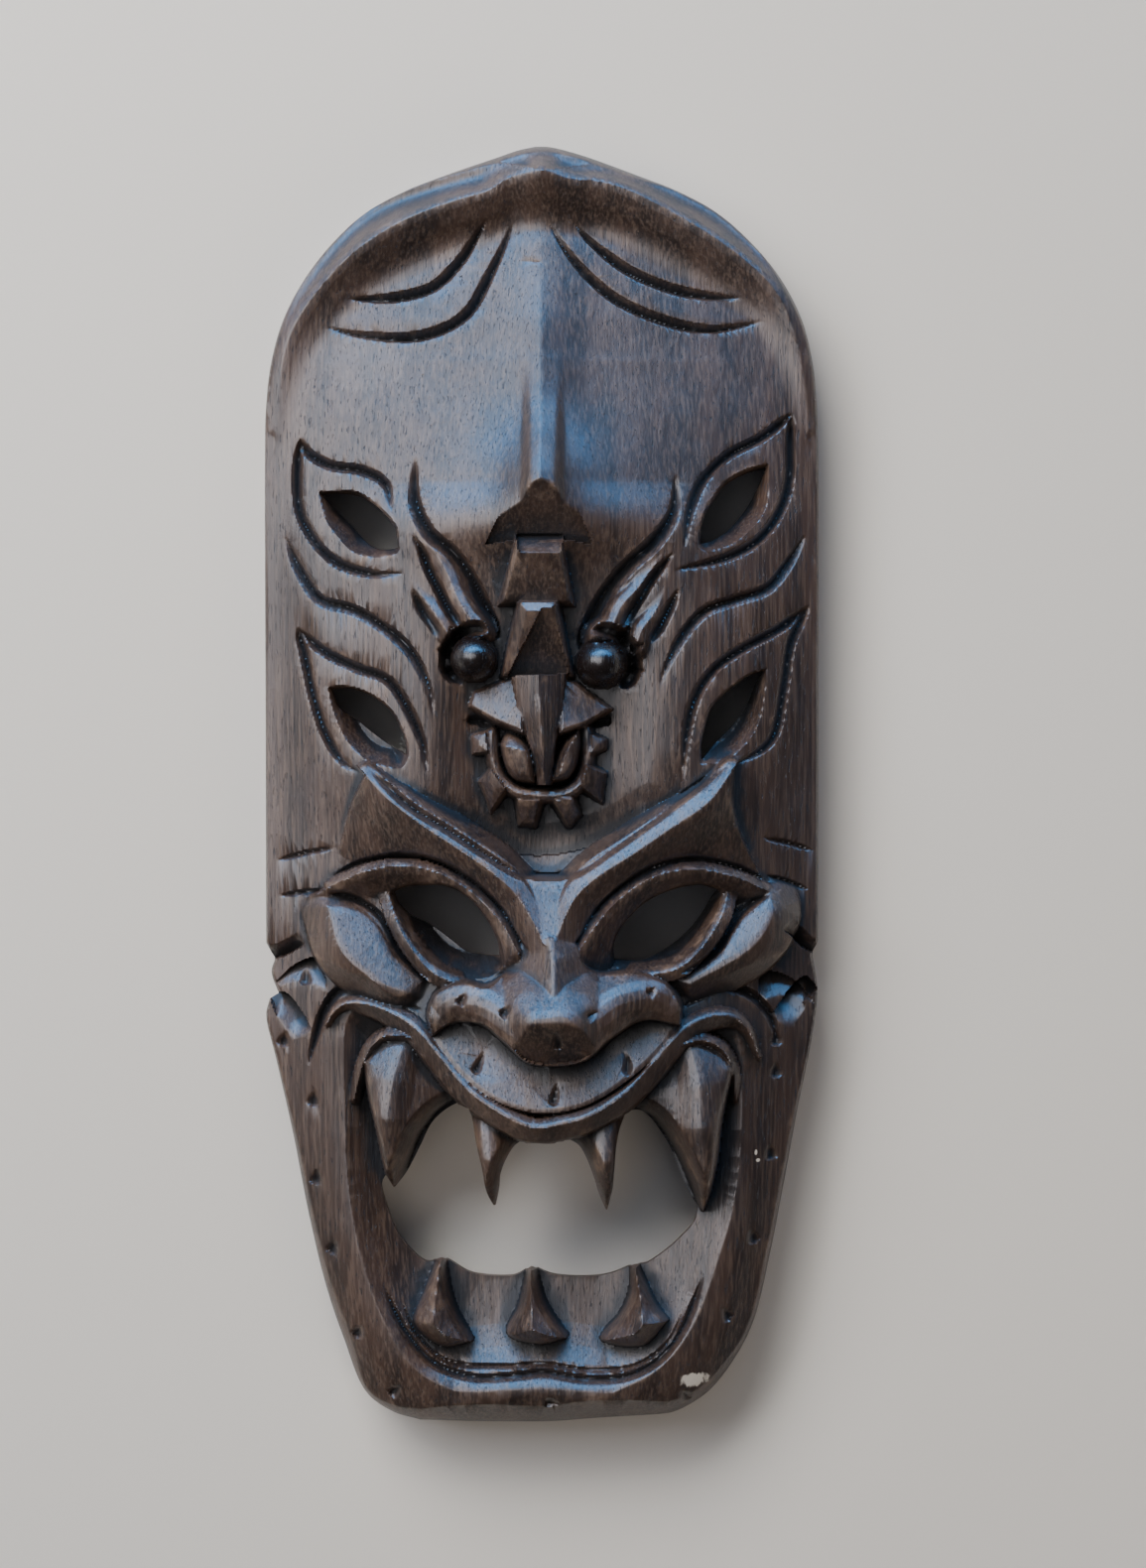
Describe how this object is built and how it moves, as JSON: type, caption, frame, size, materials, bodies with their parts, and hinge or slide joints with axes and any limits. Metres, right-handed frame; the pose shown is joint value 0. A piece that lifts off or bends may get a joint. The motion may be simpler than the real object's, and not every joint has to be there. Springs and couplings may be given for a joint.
{
  "type": "ifugao mask",
  "caption": "Carved wooden demon mask with a horned dragon on the forehead, flame-like eye openings, an open fanged mouth and a hollow back.",
  "frame": {"origin": "on the plane of the flat back rim, under the middle of the mask's length and width", "axes": "+Y from the chin to the top of the head, +Z out of the face, +X to the right of someone looking at the face"},
  "size_m": [0.1564, 0.3596, 0.0544],
  "materials": {
    "carved_wood": "dark brown satin varnish, rubbed lighter on the raised edges and nearly black in the cuts"
  },
  "bodies": {
    "root": {"mask": "carved_wood"}
  },
  "joints": []
}
